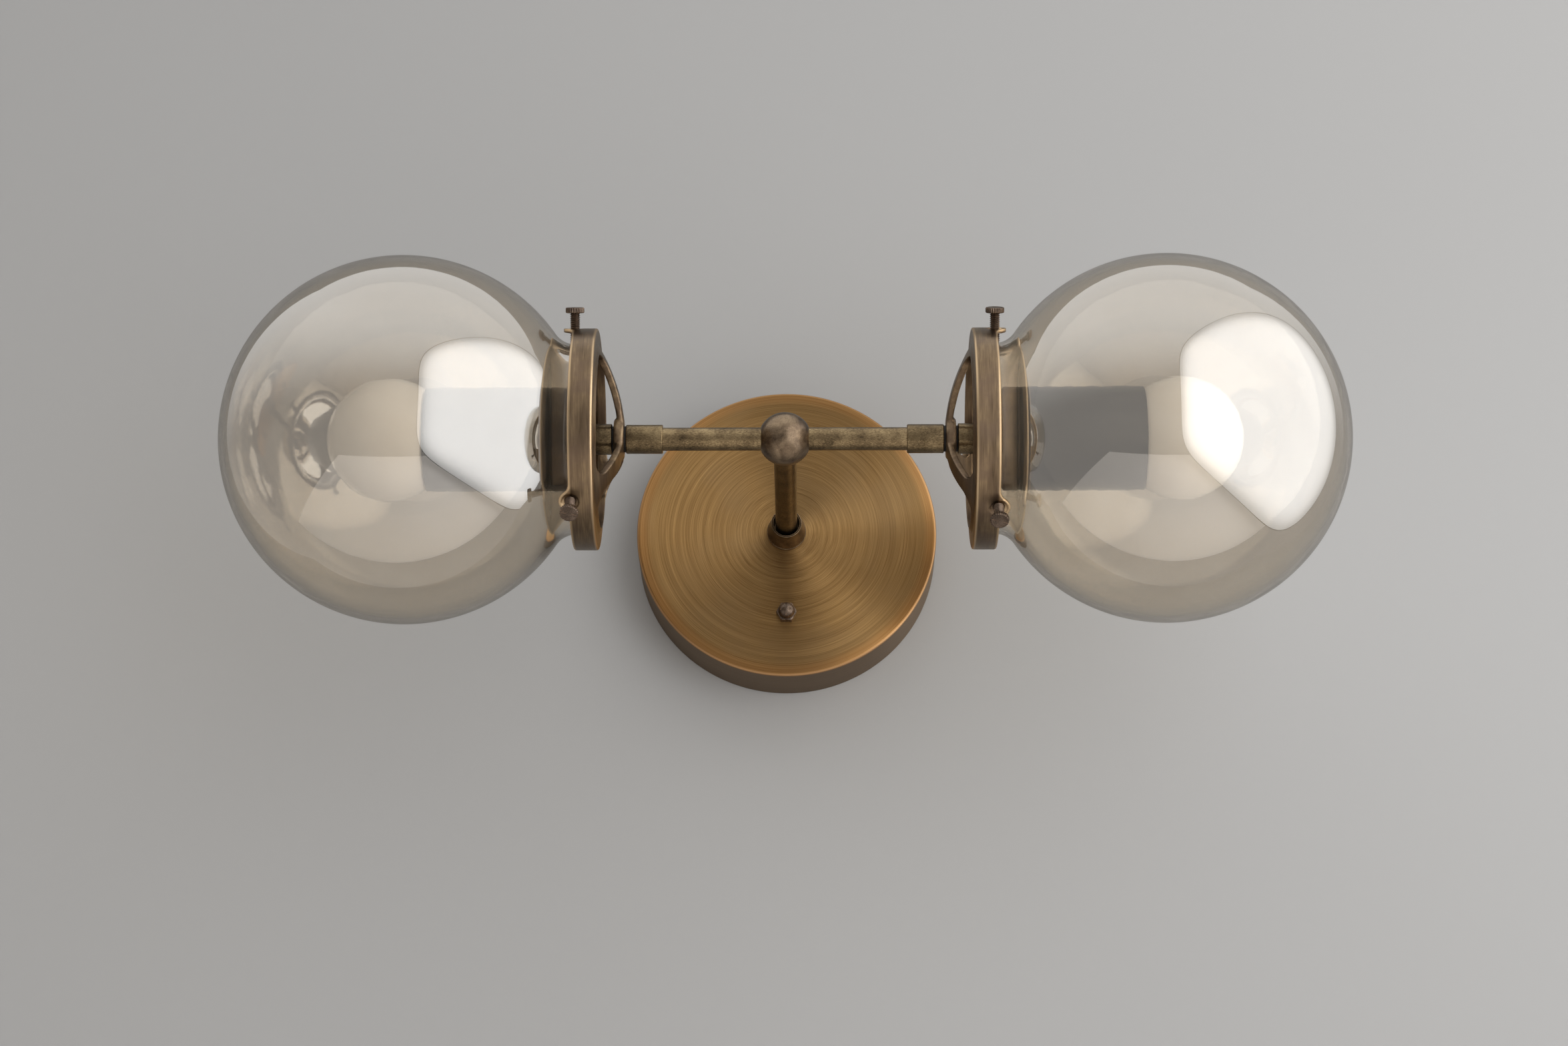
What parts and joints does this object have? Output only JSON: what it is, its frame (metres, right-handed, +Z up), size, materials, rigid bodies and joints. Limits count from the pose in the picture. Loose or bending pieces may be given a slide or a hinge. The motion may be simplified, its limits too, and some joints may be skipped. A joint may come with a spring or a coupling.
{
  "type": "double arm wall sconce",
  "caption": "Double arm wall sconce: round canopy, stem and ball body, spoked shade holders with thumb screws, and smoked glass globe shades over screw-base bulbs.",
  "frame": {"origin": "centre of the crossbar's back face, in the wall plane, where the canopy, stem and wall box share one axis", "axes": "+Z up, +X to the viewer's right along the arms, +Y into the wall; the sconce stands out towards -Y"},
  "size_m": [0.4664, 0.2194, 0.1524],
  "materials": {
    "brushed_aged_brass": "circular-brushed aged brass, lacquered",
    "aged_brass": "satin aged brass with a fine speckled patina",
    "dark_brass": "dark aged brass",
    "zinc_steel": "zinc plated",
    "black_steel": "blackened",
    "green_steel": "green plated",
    "contact_brass": "bright brass",
    "smoke_glass": "smoked lustre glass, glossy",
    "opal_glass": "opal",
    "bulb_nickel": "bright rolled",
    "black_glass": "vitreous black",
    "solder": "solder",
    "black_enamel": "satin black",
    "black_phenolic": "moulded phenolic",
    "white_plastic": "satin",
    "black_insulation": "satin",
    "white_insulation": "satin",
    "green_insulation": "satin",
    "connector_plastic": "satin"
  },
  "bodies": {
    "wall_bar": {"crossbar_box_bar": "zinc_steel", "crossbar_eyelet": "zinc_steel"},
    "fixture": {"crossbar_stud_bar": "zinc_steel", "canopy_studs": "zinc_steel", "stud_lock_nuts": "zinc_steel", "canopy": "brushed_aged_brass", "stem_collar": "dark_brass", "stem_lock_washer": "zinc_steel", "stem_lock_nut": "zinc_steel", "stem_bushing": "white_plastic", "stem_tube": "aged_brass", "ball_body": "aged_brass", "earth_screw": "green_steel", "earth_lead": "green_insulation", "wire_connectors": "connector_plastic", "hub_washers": "black_steel", "socket_terminals": "contact_brass", "socket_centre_contacts": "contact_brass", "left_arm_tube": "aged_brass", "left_arm_coupling": "aged_brass", "left_holder_nipple": "zinc_steel", "left_shade_holder": "brushed_aged_brass", "left_inner_coupling": "aged_brass", "left_socket_cup": "black_enamel", "left_socket_cap": "black_phenolic", "left_socket_body": "black_phenolic", "left_socket_screw_shell": "contact_brass", "left_globe": "smoke_glass", "left_live_lead": "black_insulation", "left_neutral_lead": "white_insulation", "right_arm_tube": "aged_brass", "right_arm_coupling": "aged_brass", "right_holder_nipple": "zinc_steel", "right_shade_holder": "brushed_aged_brass", "right_inner_coupling": "aged_brass", "right_socket_cup": "black_enamel", "right_socket_cap": "black_phenolic", "right_socket_body": "black_phenolic", "right_socket_screw_shell": "contact_brass", "right_globe": "smoke_glass", "right_live_lead": "black_insulation", "right_neutral_lead": "white_insulation"},
    "left_thumb_top": {"left_thumb_screw_top": "dark_brass"},
    "left_thumb_front": {"left_thumb_screw_front": "dark_brass"},
    "left_thumb_rear": {"left_thumb_screw_rear": "dark_brass"},
    "left_bulb": {"left_bulb_glass": "opal_glass", "left_bulb_base": "bulb_nickel", "left_bulb_insulator": "black_glass", "left_bulb_tip": "solder", "left_bulb_light_engine": "white_plastic"},
    "right_thumb_top": {"right_thumb_screw_top": "dark_brass"},
    "right_thumb_front": {"right_thumb_screw_front": "dark_brass"},
    "right_thumb_rear": {"right_thumb_screw_rear": "dark_brass"},
    "right_bulb": {"right_bulb_glass": "opal_glass", "right_bulb_base": "bulb_nickel", "right_bulb_insulator": "black_glass", "right_bulb_tip": "solder", "right_bulb_light_engine": "white_plastic"},
    "cap_nut_top": {"acorn_nut_top": "dark_brass"},
    "cap_nut_bottom": {"acorn_nut_bottom": "dark_brass"}
  },
  "joints": [
    {"name": "canopy_swivel", "type": "hinge", "parent": "wall_bar", "child": "fixture", "pos_m": [0, 0, 0], "axis": [0, 1, 0], "range_deg": [-45, 45]},
    {"name": "left_thumb_top_back_off", "type": "slide", "parent": "fixture", "child": "left_thumb_top", "axis": [0, -0.4147, 0.91], "range_m": [0, 0.006]},
    {"name": "left_thumb_front_back_off", "type": "slide", "parent": "fixture", "child": "left_thumb_front", "axis": [0, -0.5807, -0.8141], "range_m": [0, 0.006]},
    {"name": "left_thumb_rear_back_off", "type": "slide", "parent": "fixture", "child": "left_thumb_rear", "axis": [0, 0.9954, -0.0958], "range_m": [0, 0.006]},
    {"name": "left_bulb_unscrew", "type": "slide", "parent": "fixture", "child": "left_bulb", "axis": [-1, 0, 0], "range_m": [0, 0.022]},
    {"name": "right_thumb_top_back_off", "type": "slide", "parent": "fixture", "child": "right_thumb_top", "axis": [0, -0.4848, 0.8746], "range_m": [0, 0.006]},
    {"name": "right_thumb_front_back_off", "type": "slide", "parent": "fixture", "child": "right_thumb_front", "axis": [0, -0.515, -0.8572], "range_m": [0, 0.006]},
    {"name": "right_thumb_rear_back_off", "type": "slide", "parent": "fixture", "child": "right_thumb_rear", "axis": [0, 0.9998, -0.0175], "range_m": [0, 0.006]},
    {"name": "right_bulb_unscrew", "type": "slide", "parent": "fixture", "child": "right_bulb", "axis": [1, 0, 0], "range_m": [0, 0.022]},
    {"name": "cap_nut_top_unscrew", "type": "slide", "parent": "fixture", "child": "cap_nut_top", "axis": [0, -1, 0], "range_m": [0, 0.008]},
    {"name": "cap_nut_bottom_unscrew", "type": "slide", "parent": "fixture", "child": "cap_nut_bottom", "axis": [0, -1, 0], "range_m": [0, 0.008]}
  ]
}
